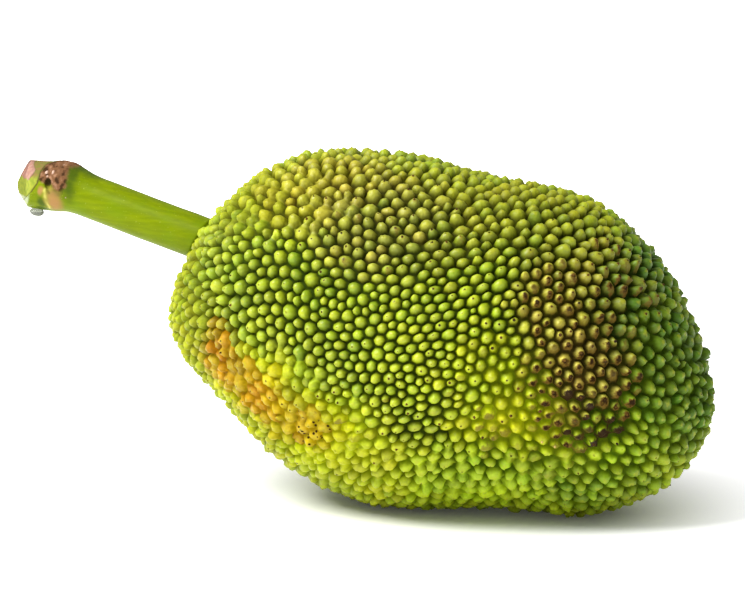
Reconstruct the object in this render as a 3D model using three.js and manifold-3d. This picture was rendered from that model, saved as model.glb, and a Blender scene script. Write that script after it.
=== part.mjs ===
// A whole jackfruit, picked with its stalk and lying on its side.
//
// Millimetres, +Z up, +X from the cut stalk towards the blossom end. The origin is under the middle of the
// whole thing, on the surface that it rests on.

import * as THREE from "three";
import { ConvexHull } from "three/addons/math/ConvexHull.js";
import { mergeVertices } from "three/addons/utils/BufferGeometryUtils.js";
import Module from "manifold-3d";

const wasm = await Module();
wasm.setup();

// ---- Driving dimensions ----

const FRUIT_LENGTH = 363; // along the fruit's own axis
const AXIS_TILT = THREE.MathUtils.degToRad(15); // the stalk end is raised
const AXIS_HEIGHT = 100.9; // of the middle of the axis, above the surface
const END_BLUNTNESS = 0.92; // 1 makes elliptical ends, less makes blunter ones

// The fruit's ribs at equal angles from the stalk end to the blossom end. Each says how far its centre lies
// above the axis, and its half height and half width. They shrink to nothing at both ends.
const RIBS = [
  { lift: -29, halfHeight: 115, halfWidth: 114 },
  { lift: -7, halfHeight: 118, halfWidth: 115 },
  { lift: 7, halfHeight: 115, halfWidth: 116 },
  { lift: 3, halfHeight: 117, halfWidth: 116 },
  { lift: 4, halfHeight: 113, halfWidth: 118 },
  { lift: 18, halfHeight: 111, halfWidth: 114 },
  { lift: 10, halfHeight: 110, halfWidth: 109 },
  { lift: 3, halfHeight: 98, halfWidth: 105 },
  { lift: 5, halfHeight: 95, halfWidth: 103 },
];

const TUBERCLE_COUNT = 2750;
const TUBERCLE_DISORDER = 4.5; // how far each is moved along each axis, at most, before they settle
const SETTLING_ROUNDS = 20;
const SETTLING_CALM = 0.15; // 0 settles towards even spacing, and 1 moves less at each step
const CROWDED_SIDE = new THREE.Vector3(0.06, -0.98, 0.1).normalize(); // where the tubercles are smallest
const CROWDING = 0.29; // the share by which they are narrower there than on average
const PRESSED_DEPTH = 1.6; // the soft edge round the flat spot that the fruit rests on

const STALK_RADIUS = 14.3;
const STALK_SIDES = 28;
const GAP = 0.3; // between the stalk and the fruit, and between the sap and the stalk

// The stalk's centre line in the XZ plane, from its root inside the fruit to the cut end, with its radius.
const STALK_STATIONS = [
  { x: -153, z: 160.5, radius: STALK_RADIUS },
  { x: -171, z: 166, radius: STALK_RADIUS },
  { x: -189, z: 171.5, radius: STALK_RADIUS },
  { x: -207, z: 177.1, radius: STALK_RADIUS },
  { x: -225, z: 182.8, radius: STALK_RADIUS },
  { x: -239, z: 187.2, radius: STALK_RADIUS },
  { x: -247, z: 190, radius: 14.6 },
  { x: -253, z: 192.3, radius: 15.5 },
  { x: -258, z: 193.9, radius: 16.6 },
  { x: -263, z: 194.5, radius: 17 },
  { x: -269, z: 194.3, radius: 16.6 },
  { x: -277, z: 194.4, radius: 16.3 },
  { x: -289, z: 195.3, radius: 15.9 },
  { x: -311, z: 196.3, radius: 15.4 },
];

// The knife cuts that trim the stalk's end: a point on each cut and the way that its face looks.
const KNIFE_CUTS = [
  { point: [-291.3, 0, 188], facing: [-0.8, -0.6, 0.02] },
  { point: [-289.5, 0, 203], facing: [-0.8, -0.44, 0.4] },
  { point: [-289.8, 0, 182], facing: [-0.66, -0.3, -0.68] },
];
const KNIFE_BLOCK = 80; // the side of the block that each cut takes away

const BUD_PIT = { centre: [-266.1, -16.4, 198.2], halfSize: [2.4, 3.2, 3.8] };
const SAP_DROP = { centre: [-279.6, -4.5, 177.6], halfSize: [5.4, 3.6, 3.2], lean: 0.45 };

const COLOURS = {
  rind: 0x84a01c,
  stalk: 0x97b21a,
  sap: 0xe4e6d2,
};

const SKIN_STEPS = 800; // along the fruit, for measuring its skin
const WELD_DISTANCE = 1e-3; // corners closer than this are one corner
const GOLDEN_ANGLE = Math.PI * (3 - Math.sqrt(5));

// ---- Small helpers ----

/** A repeatable number from -1 to 1 for a pair of whole numbers. */
function scatter(index, channel) {
  const wave = Math.sin(index * 12.9898 + channel * 78.233) * 43758.5453;
  return 2 * (wave - Math.floor(wave)) - 1;
}

/** A mesh geometry as a manifold-3d solid. */
function solidOf(geometry) {
  const bare = geometry.clone();
  bare.deleteAttribute("normal");
  bare.deleteAttribute("uv");
  const merged = mergeVertices(bare, WELD_DISTANCE);
  return new wasm.Manifold(
    new wasm.Mesh({
      numProp: 3,
      vertProperties: merged.attributes.position.array,
      triVerts: new Uint32Array(merged.index.array),
    }),
  );
}

/** A manifold-3d solid as a geometry with flat faces. */
function geometryOf(solid) {
  const { numProp, numVert, vertProperties, triVerts } = solid.getMesh();
  const positions = new Float32Array(numVert * 3);
  for (let i = 0; i < numVert; i++) {
    positions.set(vertProperties.subarray(i * numProp, i * numProp + 3), i * 3);
  }
  const geometry = new THREE.BufferGeometry();
  geometry.setAttribute("position", new THREE.BufferAttribute(positions, 3));
  geometry.setIndex(new THREE.BufferAttribute(triVerts, 1));
  geometry.computeVertexNormals();
  return geometry;
}

/** An ellipsoid with its centre and half sizes as given, turned by lean about Y. */
function ellipsoid({ centre, halfSize, lean = 0 }) {
  return new THREE.SphereGeometry(1, 18, 12)
    .scale(...halfSize)
    .rotateY(lean)
    .translate(...centre);
}

// ---- The fruit's smooth outer form ----

const ribCurve = new THREE.CatmullRomCurve3(
  RIBS.map((rib) => new THREE.Vector3(rib.lift, rib.halfHeight, rib.halfWidth)),
  false,
  "catmullrom",
  0.5,
);

/** Lifts what lies below the surface onto it, with a soft edge. */
function restOnSurface(z) {
  if (z >= PRESSED_DEPTH) return z;
  if (z <= -PRESSED_DEPTH) return 0;
  return (z + PRESSED_DEPTH) ** 2 / (4 * PRESSED_DEPTH);
}

/** A point of the skin that touches all tips: along is 0 at the stalk end and 1 at the blossom end. */
function skinPoint(along, around) {
  const rib = ribCurve.getPoint(THREE.MathUtils.clamp(along, 0, 1));
  const swell = Math.max(Math.sin(Math.PI * along), 0) ** END_BLUNTNESS;
  const x = (-FRUIT_LENGTH / 2) * Math.cos(Math.PI * along);
  const y = rib.z * swell * Math.cos(around);
  const z = rib.x + rib.y * swell * Math.sin(around);
  return new THREE.Vector3(
    x * Math.cos(AXIS_TILT) + z * Math.sin(AXIS_TILT),
    y,
    restOnSurface(AXIS_HEIGHT - x * Math.sin(AXIS_TILT) + z * Math.cos(AXIS_TILT)),
  );
}

/** The place on the skin, by along and around, that lies under or over a point near it. */
function nearestPlace(point) {
  const height = point.z - AXIS_HEIGHT;
  const x = point.x * Math.cos(AXIS_TILT) - height * Math.sin(AXIS_TILT);
  const z = point.x * Math.sin(AXIS_TILT) + height * Math.cos(AXIS_TILT);
  const cosine = THREE.MathUtils.clamp((-2 * x) / FRUIT_LENGTH, -1, 1);
  const rib = ribCurve.getPoint(Math.acos(cosine) / Math.PI);
  const [side, up] = [point.y / rib.z, (z - rib.x) / rib.y];
  const sine = Math.hypot(side, up) ** (1 / END_BLUNTNESS);
  return { along: Math.atan2(sine, cosine) / Math.PI, around: Math.atan2(up, side) };
}

/** The fruit's skin from end to end: the share of its area so far, and its isometric latitude. */
function walkAlongSkin() {
  const rows = [{ along: 0, area: 0, latitude: 0 }];
  for (let i = 1; i <= SKIN_STEPS; i++) {
    const along = i / SKIN_STEPS;
    const middle = along - 0.5 / SKIN_STEPS;
    const stride = skinPoint(along, 0).distanceTo(skinPoint(along - 1 / SKIN_STEPS, 0));
    const rib = ribCurve.getPoint(middle);
    const radius = ((rib.y + rib.z) / 2) * Math.sin(Math.PI * middle) ** END_BLUNTNESS;
    const last = rows[i - 1];
    rows.push({
      along,
      area: last.area + stride * radius,
      latitude: last.latitude + stride / radius,
    });
  }
  const whole = rows[SKIN_STEPS].area;
  const equator = rows[SKIN_STEPS / 2].latitude;
  return rows.map(({ along, area, latitude }) => ({
    along,
    area: area / whole,
    latitude: latitude - equator,
  }));
}

const skinRows = walkAlongSkin();

/** Reads one column of the skin's rows where another column has a given value. */
function lookUp(wanted, known, value) {
  const next = Math.max(
    1,
    skinRows.findIndex((row) => row[known] >= value),
  );
  const low = skinRows[next - 1];
  const high = skinRows[next];
  const share = (value - low[known]) / (high[known] - low[known]);
  return THREE.MathUtils.lerp(low[wanted], high[wanted], share);
}

// ---- The net of tubercles on the skin ----

/** Where a place on the skin falls on a unit sphere when its angles are kept. */
function toSphere({ along, around }) {
  const latitude = lookUp("latitude", "along", along);
  const girth = 1 / Math.cosh(latitude);
  return new THREE.Vector3(Math.tanh(latitude), girth * Math.cos(around), girth * Math.sin(around));
}

/** The place on the skin that falls on a given direction of that sphere. */
function fromSphere(direction) {
  return {
    along: lookUp("along", "latitude", Math.atanh(direction.x)),
    around: Math.atan2(direction.z, direction.y),
  };
}

/** The tip of the tubercle that grows in a given direction of that sphere. */
function tipAt(direction) {
  const { along, around } = fromSphere(direction);
  return skinPoint(along, around);
}

/** Draws a direction closer to the crowded side, less and less towards the far side. */
function crowd(direction) {
  const angle = direction.angleTo(CROWDED_SIDE);
  const pull = CROWDING * Math.sin(angle) * Math.cos(angle / 2) ** 4;
  const axis = new THREE.Vector3().crossVectors(direction, CROWDED_SIDE).normalize();
  return direction.clone().applyAxisAngle(axis, pull);
}

/** The triangles between neighbouring directions, as triples of their indices. */
function triangulate(directions) {
  const indexOf = new Map(directions.map((direction, i) => [direction, i]));
  const { faces } = new ConvexHull().setFromPoints(directions);
  return faces.map(({ edge }) => [edge, edge.next, edge.prev].map((side) => indexOf.get(side.head().point)));
}

/** The point that is equally far from a triangle's corners. */
function circumcentre({ a, b, c }) {
  const ab = b.clone().sub(a);
  const ac = c.clone().sub(a);
  const normal = ab.clone().cross(ac);
  const offset = normal.clone().cross(ab).multiplyScalar(ac.lengthSq());
  offset.add(ac.clone().cross(normal).multiplyScalar(ab.lengthSq()));
  return offset.divideScalar(2 * normal.lengthSq()).add(a);
}

/** Moves each direction so that its tip comes to the middle of the skin's triangles round it. */
function settle(directions) {
  const tips = directions.map((direction) => tipAt(direction));
  const middles = tips.map(() => new THREE.Vector3());
  const areas = tips.map(() => 0);
  for (const corners of triangulate(directions)) {
    const triangle = new THREE.Triangle(...corners.map((corner) => tips[corner]));
    const area = triangle.getArea();
    const middle = circumcentre(triangle).lerp(triangle.getMidpoint(new THREE.Vector3()), SETTLING_CALM);
    for (const corner of corners) {
      middles[corner].addScaledVector(middle, area);
      areas[corner] += area;
    }
  }
  return middles.map((middle, i) => toSphere(nearestPlace(middle.divideScalar(areas[i]))));
}

/**
 * The directions of all tubercles: a spiral that gives each the same area of skin, disordered, crowded to one
 * side and then settled.
 */
function tubercleDirections() {
  let directions = [];
  for (let i = 0; i < TUBERCLE_COUNT; i++) {
    const along = lookUp("along", "area", (i + 0.5) / TUBERCLE_COUNT);
    const shift = new THREE.Vector3(scatter(i, 1), scatter(i, 2), scatter(i, 3));
    const tip = skinPoint(along, i * GOLDEN_ANGLE).addScaledVector(shift, TUBERCLE_DISORDER);
    directions.push(crowd(toSphere(nearestPlace(tip))));
  }
  for (let round = 0; round < SETTLING_ROUNDS; round++) directions = settle(directions);
  return directions;
}

/** The fruit's closed skin: a net with a corner at each tubercle's tip, thicker by the clearance. */
function fruitGeometry(directions, clearance = 0) {
  const corners = directions.map((direction) => tipAt(direction));
  const geometry = new THREE.BufferGeometry().setFromPoints(corners);
  geometry.setIndex(triangulate(directions).flat());
  geometry.computeVertexNormals();
  const { position, normal } = geometry.attributes;
  for (let i = 0; i < position.count; i++) {
    const outward = new THREE.Vector3().fromBufferAttribute(normal, i);
    position.setXYZ(i, ...corners[i].addScaledVector(outward, clearance));
  }
  return geometry;
}

// ---- The stalk ----

/** A closed tube through the stalk's stations, thicker all round by the clearance. */
function stalkTube(clearance) {
  const line = new THREE.CatmullRomCurve3(
    STALK_STATIONS.map((station) => new THREE.Vector3(station.x, 0, station.z)),
  );
  const positions = [];
  const last = STALK_STATIONS.length - 1;
  STALK_STATIONS.forEach((station, row) => {
    const forward = line.getTangent(row / last);
    const across = new THREE.Vector3(0, 1, 0);
    const upward = new THREE.Vector3().crossVectors(across, forward);
    for (let side = 0; side < STALK_SIDES; side++) {
      const angle = (2 * Math.PI * side) / STALK_SIDES;
      const radius = station.radius + clearance;
      positions.push(
        new THREE.Vector3(station.x, 0, station.z)
          .addScaledVector(across, radius * Math.cos(angle))
          .addScaledVector(upward, radius * Math.sin(angle)),
      );
    }
  });
  for (const { x, z } of [STALK_STATIONS[0], STALK_STATIONS[last]]) {
    positions.push(new THREE.Vector3(x, 0, z));
  }

  const vertex = (row, side) => row * STALK_SIDES + (side % STALK_SIDES);
  const rootIndex = positions.length - 2;
  const endIndex = positions.length - 1;
  const triangles = [];
  for (let side = 0; side < STALK_SIDES; side++) {
    for (let row = 0; row < last; row++) {
      const [a, b] = [vertex(row, side), vertex(row, side + 1)];
      const [c, d] = [vertex(row + 1, side), vertex(row + 1, side + 1)];
      triangles.push(a, c, b, b, c, d);
    }
    triangles.push(rootIndex, vertex(0, side), vertex(0, side + 1));
    triangles.push(endIndex, vertex(last, side + 1), vertex(last, side));
  }
  const geometry = new THREE.BufferGeometry().setFromPoints(positions);
  geometry.setIndex(triangles);
  return geometry;
}

/** The block that a knife cut takes away, moved off by the clearance. */
function knifeBlock({ point, facing }, clearance) {
  const outward = new THREE.Vector3(...facing).normalize();
  const turn = new THREE.Quaternion().setFromUnitVectors(new THREE.Vector3(0, 0, 1), outward);
  const centre = new THREE.Vector3(...point).addScaledVector(outward, KNIFE_BLOCK / 2 + clearance);
  return new THREE.BoxGeometry(KNIFE_BLOCK, KNIFE_BLOCK, KNIFE_BLOCK)
    .applyQuaternion(turn)
    .translate(...centre);
}

/** The stalk's tube with its trimmed end. */
function trimmedStalk(clearance) {
  const blocks = KNIFE_CUTS.map((cut) => solidOf(knifeBlock(cut, clearance)));
  return blocks.reduce((solid, block) => solid.subtract(block), solidOf(stalkTube(clearance)));
}

// ---- Assembly ----

/** A named mesh in its own colour. */
function piece(name, solid, colour, roughness) {
  const material = new THREE.MeshStandardMaterial({ color: colour, roughness, metalness: 0 });
  const mesh = new THREE.Mesh(geometryOf(solid), material);
  mesh.name = name;
  return mesh;
}

const directions = tubercleDirections();
const fruit = solidOf(fruitGeometry(directions));
const stalk = trimmedStalk(0)
  .subtract(solidOf(ellipsoid(BUD_PIT)))
  .subtract(solidOf(fruitGeometry(directions, GAP)));
const sapDrop = solidOf(ellipsoid(SAP_DROP)).subtract(trimmedStalk(GAP));

const jackfruit = new THREE.Group();
jackfruit.add(
  piece("fruit", fruit, COLOURS.rind, 0.5),
  piece("stalk", stalk, COLOURS.stalk, 0.45),
  piece("sap_drop", sapDrop, COLOURS.sap, 0.08),
);

const extent = new THREE.Box3().setFromObject(jackfruit);
const middle = extent.getCenter(new THREE.Vector3());
jackfruit.position.set(-middle.x, -middle.y, -extent.min.z);

export default jackfruit;
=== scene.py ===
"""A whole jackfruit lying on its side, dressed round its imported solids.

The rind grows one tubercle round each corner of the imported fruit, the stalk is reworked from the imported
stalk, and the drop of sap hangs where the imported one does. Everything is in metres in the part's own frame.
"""

from __future__ import annotations

import logging
import math
from dataclasses import dataclass, field
from enum import Enum

import bmesh
import bpy
import numpy as np
from mathutils import Matrix, Vector, noise


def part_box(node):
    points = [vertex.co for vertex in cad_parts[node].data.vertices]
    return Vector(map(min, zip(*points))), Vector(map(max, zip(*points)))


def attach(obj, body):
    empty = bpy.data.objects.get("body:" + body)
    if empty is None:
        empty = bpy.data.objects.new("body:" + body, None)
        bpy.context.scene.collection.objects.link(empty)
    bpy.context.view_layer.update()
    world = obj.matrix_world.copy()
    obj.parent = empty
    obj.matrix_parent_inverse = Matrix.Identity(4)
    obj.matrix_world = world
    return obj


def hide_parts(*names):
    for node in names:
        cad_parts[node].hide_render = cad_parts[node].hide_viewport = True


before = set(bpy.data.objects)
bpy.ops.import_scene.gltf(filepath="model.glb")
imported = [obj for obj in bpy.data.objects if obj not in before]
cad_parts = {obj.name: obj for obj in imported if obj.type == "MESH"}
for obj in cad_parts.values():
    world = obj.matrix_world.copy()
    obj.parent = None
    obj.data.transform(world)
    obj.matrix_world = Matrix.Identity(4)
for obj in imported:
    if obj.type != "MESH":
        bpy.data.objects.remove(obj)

LOG = logging.getLogger("jackfruit")
BODY = "root"
MM = 0.001

Colour = tuple[float, float, float, float]
Point = tuple[float, float, float]
Range = tuple[float, float]


# ---- Small helpers ----


def shade(red: int, green: int, blue: int) -> Colour:
    """Turns a screen colour into the linear colour that a shader takes.

    Args:
        red: Red from 0 to 255.
        green: Green from 0 to 255.
        blue: Blue from 0 to 255.

    Returns:
        Linear red, green and blue, with an alpha of 1.
    """

    def linear(value: int) -> float:
        """Undoes the screen's gamma for one channel."""
        part = value / 255
        return part / 12.92 if part <= 0.04045 else ((part + 0.055) / 1.055) ** 2.4

    return (linear(red), linear(green), linear(blue), 1.0)


def smooth_step(low: float, high: float, value: np.ndarray) -> np.ndarray:
    """A soft step from 0 at low to 1 at high, which may lie below low."""
    share = np.clip((value - low) / (high - low), 0, 1)
    return share * share * (3 - 2 * share)


def label_of(name: str | Enum) -> str:
    """The name that a mesh carries something by."""
    return name.value if isinstance(name, Enum) else name


def wander(places: np.ndarray, bends: float, seed: int) -> np.ndarray:
    """Smooth random offsets of up to about 1, the same in each run.

    Args:
        places: The places, in metres.
        bends: How many bends the offsets make in a metre.
        seed: The seed that the noise starts from.

    Returns:
        One offset for each place.
    """
    noise.seed_set(seed)
    return np.array([noise.noise_vector(Vector(place * bends)) for place in places])


class Graph:
    """A node tree that is built one node at a time, for shaders and for geometry alike."""

    def __init__(self, tree: bpy.types.NodeTree) -> None:
        """Keeps the tree that the nodes go into."""
        self.tree = tree

    def feed(self, socket: bpy.types.NodeSocket, value: object) -> None:
        """Links a socket into another, or sets its value.

        Args:
            socket: The input to fill.
            value: An output socket, or a plain value.
        """
        if isinstance(value, bpy.types.NodeSocket):
            self.tree.links.new(value, socket)
        else:
            socket.default_value = value

    def fill(self, node: bpy.types.Node, inputs: dict) -> None:
        """Fills a node's inputs by their names or numbers."""
        for key, value in inputs.items():
            self.feed(node.inputs[key], value)

    def add(self, kind: str, inputs: dict | None = None, **settings: object) -> bpy.types.Node:
        """Adds a node.

        Args:
            kind: The node's Blender type.
            inputs: Values or links by input name or number.
            settings: The node's own properties.

        Returns:
            The new node.
        """
        node = self.tree.nodes.new(kind)
        for name, value in settings.items():
            setattr(node, name, value)
        self.fill(node, inputs or {})
        return node

    def math(self, operation: str, *values: object, clamp: bool = False) -> bpy.types.NodeSocket:
        """A sum or other operation on numbers.

        Args:
            operation: The name of the operation.
            values: Its one to three inputs.
            clamp: Keeps the result from 0 to 1.

        Returns:
            The result.
        """
        node = self.add("ShaderNodeMath", dict(enumerate(values)), operation=operation, use_clamp=clamp)
        return node.outputs[0]

    def times(self, one: object, other: object) -> bpy.types.NodeSocket:
        """A number times another."""
        return self.math("MULTIPLY", one, other)

    def most(self, one: object, other: object) -> bpy.types.NodeSocket:
        """The larger of two numbers."""
        return self.math("MAXIMUM", one, other)

    def vector_math(self, operation: str, *values: object) -> bpy.types.NodeSocket:
        """An operation on vectors that gives a vector."""
        return self.add("ShaderNodeVectorMath", dict(enumerate(values)), operation=operation).outputs[0]

    def length(self, vector: object) -> bpy.types.NodeSocket:
        """The length of a vector."""
        return self.add("ShaderNodeVectorMath", {0: vector}, operation="LENGTH").outputs["Value"]

    def dot(self, one: object, other: object) -> bpy.types.NodeSocket:
        """How much of one vector lies along another."""
        return self.add("ShaderNodeVectorMath", {0: one, 1: other}, operation="DOT_PRODUCT").outputs["Value"]

    def scaled(self, vector: object, factor: object) -> bpy.types.NodeSocket:
        """A vector times a number."""
        node = self.add("ShaderNodeVectorMath", {0: vector, "Scale": factor}, operation="SCALE")
        return node.outputs[0]

    def blend(self, share: object, low: object, high: object) -> bpy.types.NodeSocket:
        """A number between two others by a share from 0 to 1."""
        node = self.add("ShaderNodeMix", {0: share, 2: low, 3: high}, data_type="FLOAT")
        return node.outputs[0]

    def tint(self, share: object, low: object, high: object, mode: str = "MIX") -> bpy.types.NodeSocket:
        """A colour between two others by a share from 0 to 1, or blended in another mode."""
        node = self.add("ShaderNodeMix", {0: share, 6: low, 7: high}, data_type="RGBA", blend_type=mode)
        return node.outputs[2]

    def ease(self, value: object, low: float, high: float) -> bpy.types.NodeSocket:
        """A soft step from 0 to 1.

        Args:
            value: The number that it follows.
            low: Where it is 0.
            high: Where it is 1, which may lie below low.

        Returns:
            The step.
        """
        flip = high < low
        start, end = (high, low) if flip else (low, high)
        targets = {3: 1.0, 4: 0.0} if flip else {3: 0.0, 4: 1.0}
        node = self.add(
            "ShaderNodeMapRange", {0: value, 1: start, 2: end, **targets}, interpolation_type="SMOOTHSTEP"
        )
        return node.outputs[0]

    def noise(self, scale: float, detail: float, vector: object = None) -> bpy.types.NodeSocket:
        """Smooth noise from 0 to 1.

        Args:
            scale: How many features it has in a metre.
            detail: How many finer layers are added to it.
            vector: The place. None takes the tree's own.

        Returns:
            The noise.
        """
        inputs = {"Scale": scale, "Detail": detail}
        if vector is not None:
            inputs["Vector"] = vector
        return self.add("ShaderNodeTexNoise", inputs).outputs[0]

    def place(self) -> bpy.types.NodeSocket:
        """In a shader, the place in the part's frame, in metres."""
        return self.add("ShaderNodeTexCoord").outputs["Object"]

    def bumps(self, height: object, strength: float, depth: float) -> bpy.types.NodeSocket:
        """In a shader, the normal over fine bumps of a depth in metres."""
        inputs = {"Strength": strength, "Distance": depth, "Height": height}
        return self.add("ShaderNodeBump", inputs).outputs[0]

    def attribute(self, name: str | Enum) -> bpy.types.NodeSocket:
        """In a shader, a number that the mesh carries."""
        return self.add("ShaderNodeAttribute", attribute_name=label_of(name)).outputs["Fac"]

    def carried(self, name: str | Enum, kind: str = "FLOAT") -> bpy.types.NodeSocket:
        """In a geometry tree, a number or vector that the mesh carries."""
        node = self.add("GeometryNodeInputNamedAttribute", {"Name": label_of(name)}, data_type=kind)
        return node.outputs["Attribute"]


def new_material(name: str) -> tuple[bpy.types.Material, Graph, bpy.types.Node]:
    """Starts a material with one principled shader.

    Args:
        name: The material's name.

    Returns:
        The material, its graph and its principled shader.
    """
    material = bpy.data.materials.new(name)
    material.use_nodes = True
    graph = Graph(material.node_tree)
    return material, graph, material.node_tree.nodes["Principled BSDF"]


def merged_copy(node: str) -> bpy.types.Mesh:
    """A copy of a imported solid's mesh with its loose triangles joined.

    Args:
        node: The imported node's name.

    Returns:
        The new mesh.
    """
    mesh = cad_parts[node].data.copy()
    surface = bmesh.new()
    surface.from_mesh(mesh)
    bmesh.ops.remove_doubles(surface, verts=surface.verts, dist=1e-5)
    surface.to_mesh(mesh)
    surface.free()
    mesh.materials.clear()
    if "custom_normal" in mesh.attributes:
        mesh.attributes.remove(mesh.attributes["custom_normal"])
    return mesh


def add_object(name: str, mesh: bpy.types.Mesh) -> bpy.types.Object:
    """Puts a mesh into the scene as an object at the origin."""
    piece = bpy.data.objects.new(name, mesh)
    bpy.context.scene.collection.objects.link(piece)
    return piece


def read_rows(
    elements: bpy.types.bpy_prop_collection, key: str, width: int, kind: type = float
) -> np.ndarray:
    """Reads a property of every element of a mesh.

    Args:
        elements: The mesh's vertices, edges or normals.
        key: The property's name.
        width: How many numbers it holds.
        kind: The type of those numbers.

    Returns:
        One row for each element.
    """
    values = np.empty(len(elements) * width, dtype=kind)
    elements.foreach_get(key, values)
    return values.reshape(-1, width)


def carry(mesh: bpy.types.Mesh, name: str | Enum, values: np.ndarray, domain: str = "POINT") -> None:
    """Stores numbers or vectors on a mesh.

    Args:
        mesh: The mesh.
        name: The attribute's name.
        values: One number or one vector for each element.
        domain: POINT, EDGE or FACE.
    """
    kind, key = ("FLOAT_VECTOR", "vector") if values.ndim == 2 else ("FLOAT", "value")
    layer = mesh.attributes.new(label_of(name), kind, domain)
    layer.data.foreach_set(key, np.ascontiguousarray(values, dtype=np.float32).ravel())


def bake_tree(piece: bpy.types.Object, tree: bpy.types.NodeTree, sizes: dict[str, object]) -> None:
    """Runs a geometry tree on an object and keeps its result as the object's plain mesh.

    Args:
        piece: The object.
        tree: The geometry tree.
        sizes: Values for the tree's named inputs.
    """
    modifier = piece.modifiers.new("growth", "NODES")
    modifier.node_group = tree
    for item in tree.interface.items_tree:
        if item.item_type == "SOCKET" and item.in_out == "INPUT" and item.name in sizes:
            modifier[item.identifier] = sizes[item.name]
    evaluated = piece.evaluated_get(bpy.context.evaluated_depsgraph_get())
    mesh = bpy.data.meshes.new_from_object(evaluated)
    piece.modifiers.remove(modifier)
    piece.data = mesh


def new_geometry_tree(name: str, inputs: dict[str, tuple[str, object]]) -> tuple[Graph, bpy.types.Node]:
    """Starts a geometry tree with named inputs.

    Args:
        name: The tree's name.
        inputs: Each input's socket type and default value by its name.

    Returns:
        The tree's graph and its input node.
    """
    tree = bpy.data.node_groups.new(name, "GeometryNodeTree")
    tree.interface.new_socket("Geometry", in_out="INPUT", socket_type="NodeSocketGeometry")
    for label, (kind, value) in inputs.items():
        socket = tree.interface.new_socket(label, in_out="INPUT", socket_type=kind)
        if value is not None:
            socket.default_value = value
    tree.interface.new_socket("Geometry", in_out="OUTPUT", socket_type="NodeSocketGeometry")
    graph = Graph(tree)
    return graph, graph.add("NodeGroupInput")


@dataclass(frozen=True)
class Patch:
    """A soft-edged region of a surface.

    Attributes:
        centre: Its middle, in millimetres in the part's frame.
        radius: Its half sizes along X, Y and Z, in millimetres.
        edge: The share of its radius over which it fades.
        strength: How strong it is in the middle.
    """

    centre: Point
    radius: Point
    edge: float
    strength: float = 1.0

    def cover(self, places: np.ndarray) -> np.ndarray:
        """How much the patch covers each place.

        Args:
            places: The places, in metres.

        Returns:
            A number from 0 to the patch's strength for each place.
        """
        offsets = (places / MM - np.array(self.centre)) / np.array(self.radius)
        distance = np.linalg.norm(offsets, axis=1)
        return self.strength * smooth_step(1 + self.edge / 2, 1 - self.edge / 2, distance)


def cover_of(patches: tuple[Patch | Crack, ...], places: np.ndarray) -> np.ndarray:
    """The most that any of the patches or cracks covers each place."""
    return np.max([patch.cover(places) for patch in patches], axis=0)


# ---- The rind ----


class Trait(Enum):
    """What a tubercle can be more or less of. The value is the name that the mesh carries it by."""

    YELLOW = "yellow"
    ORANGE = "orange"
    # Paler, duller skin, and at the left end and along the top edge painted light where the surround's light
    # wraps round.
    PALE_AND_EDGE_LIGHT = "pale"
    OLIVE = "olive"
    BROWN = "brown"
    FRESH = "fresh"
    # Darker green skin, and along the right end and the top edges painted shade on the side away from the
    # light.
    DEEP_GREEN_AND_SHADE = "deep"
    SCARRED = "scarred"
    LESION = "lesion"
    SPOTTED = "spotted"
    POINTED = "pointed"
    PRESSED = "pressed"
    KNOBBLY = "knobbly"
    MERGED = "merged"


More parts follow.
